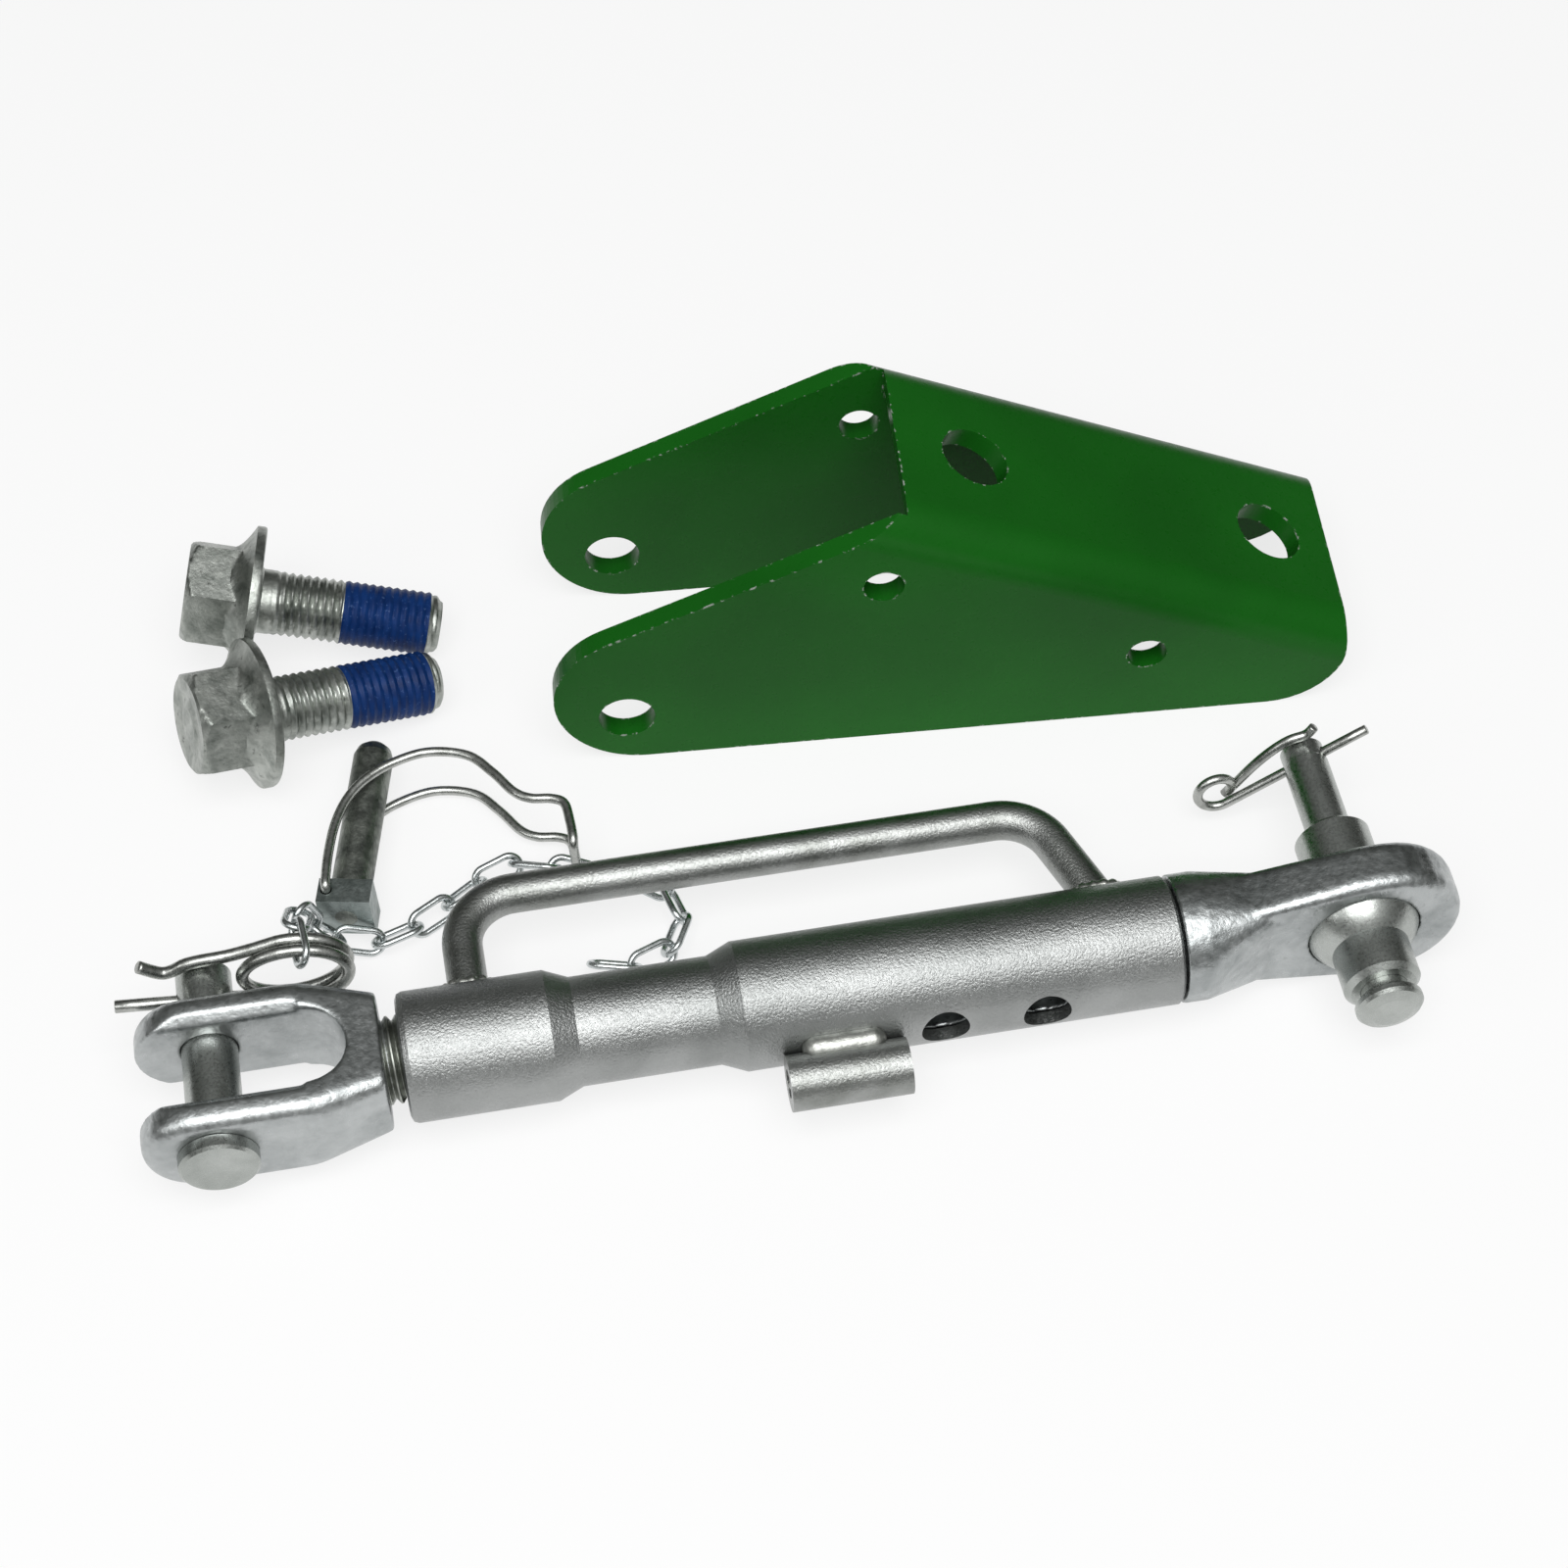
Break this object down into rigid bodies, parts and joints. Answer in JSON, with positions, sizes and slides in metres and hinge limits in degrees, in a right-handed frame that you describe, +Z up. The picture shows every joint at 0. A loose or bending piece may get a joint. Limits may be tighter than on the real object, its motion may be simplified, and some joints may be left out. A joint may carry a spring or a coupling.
{
  "type": "lower link stabilizer kit",
  "caption": "Screw-and-pin lower link stabilizer with forged fork, swivel ball end, welded handle, chained lock pin, folded green bracket and flange bolts.",
  "frame": {"origin": "middle of the fork pin, where its axis meets the stabilizer's axis", "axes": "+X along the stabilizer from the fork to the ball end, +Y away from the viewer along the pins, +Z up; the kit lies on a floor 27 mm below the origin"},
  "size_m": [0.46, 0.2836, 0.112],
  "materials": {
    "zinc_tube": "satin zinc plate with a light orange-peel grain",
    "zinc_forged": "satin zinc plate on a forging",
    "pin_steel": "turned and zinc plated",
    "weld": "plated weld bead",
    "dark_steel": "worn dull plate",
    "wire": "bright spring wire",
    "chain": "bright zinc",
    "thread": "cut thread, plated",
    "green_paint": "semi-gloss paint",
    "bolt_steel": "grainy grey coat",
    "locking_patch": "dry thread-locking patch"
  },
  "bodies": {
    "clevis": {"fork": "zinc_forged", "fork_pin": "pin_steel"},
    "thread_nut": {"thread_insert": "thread"},
    "barrel": {"barrel_tube": "zinc_tube", "handle_bar": "zinc_tube", "handle_welds": "weld", "lug_tube": "zinc_tube", "lug_weld": "weld"},
    "ball_end": {"eye_rod": "zinc_forged"},
    "ball": {"swivel_ball": "pin_steel"},
    "ball_pin": {"ball_pin": "pin_steel"},
    "ball_clip": {"ball_pin_clip": "wire"},
    "tether": {"fork_clip": "wire", "chain_links_odd": "chain", "chain_links_even": "chain", "lock_pin_bow": "wire"},
    "lock_pin": {"lock_pin_shank": "dark_steel", "lock_pin_head": "zinc_forged"},
    "bracket": {"bracket": "green_paint"},
    "bolt_back": {"bolt_back": "bolt_steel", "bolt_back_patch": "locking_patch"},
    "bolt_front": {"bolt_front": "bolt_steel", "bolt_front_patch": "locking_patch"}
  },
  "joints": [
    {"name": "screw_travel", "type": "slide", "parent": "clevis", "child": "thread_nut", "axis": [1, 0, 0], "range_m": [0, 0.002]},
    {"name": "barrel_turn", "type": "hinge", "parent": "thread_nut", "child": "barrel", "pos_m": [0, 0, 0], "axis": [1, 0, 0], "range_deg": [0, 180]},
    {"name": "ball_end_slide", "type": "slide", "parent": "barrel", "child": "ball_end", "axis": [1, 0, 0], "range_m": [0, 0.07]},
    {"name": "ball_swivel", "type": "hinge", "parent": "ball_end", "child": "ball", "pos_m": [0.3935, 0, 0], "axis": [0, 0, 1], "range_deg": [-20, 20]},
    {"name": "ball_pin_slide", "type": "slide", "parent": "ball", "child": "ball_pin", "axis": [0, 1, 0], "range_m": [-0.03, 0.004]},
    {"name": "ball_clip_pull", "type": "slide", "parent": "ball_pin", "child": "ball_clip", "axis": [-0.8387, 0, -0.5446], "range_m": [0, 0.036], "deforming": ["ball_pin_clip"]},
    {"name": "fork_clip_pull", "type": "slide", "parent": "clevis", "child": "tether", "axis": [1, 0, 0], "range_m": [0, 0.024], "deforming": ["fork_clip"]},
    {"name": "lock_pin_swing", "type": "hinge", "parent": "tether", "child": "lock_pin", "pos_m": [0.04478, 0.07749, -0.01373], "axis": [-0.0339, 0.0081, 0.9994], "range_deg": [-50, 0], "deforming": ["chain_links_odd", "chain_links_even"]},
    {"name": "bracket_lift", "type": "slide", "parent": "clevis", "child": "bracket", "axis": [0, 0, 1], "range_m": [0, 0.1]},
    {"name": "bolt_back_lift", "type": "slide", "parent": "clevis", "child": "bolt_back", "axis": [0, 0, 1], "range_m": [0, 0.1]},
    {"name": "bolt_front_lift", "type": "slide", "parent": "clevis", "child": "bolt_front", "axis": [0, 0, 1], "range_m": [0, 0.1]}
  ],
  "couplings": [
    {"joint": "screw_travel", "follows": "barrel_turn", "m_per_rad": 0.00055704}
  ]
}
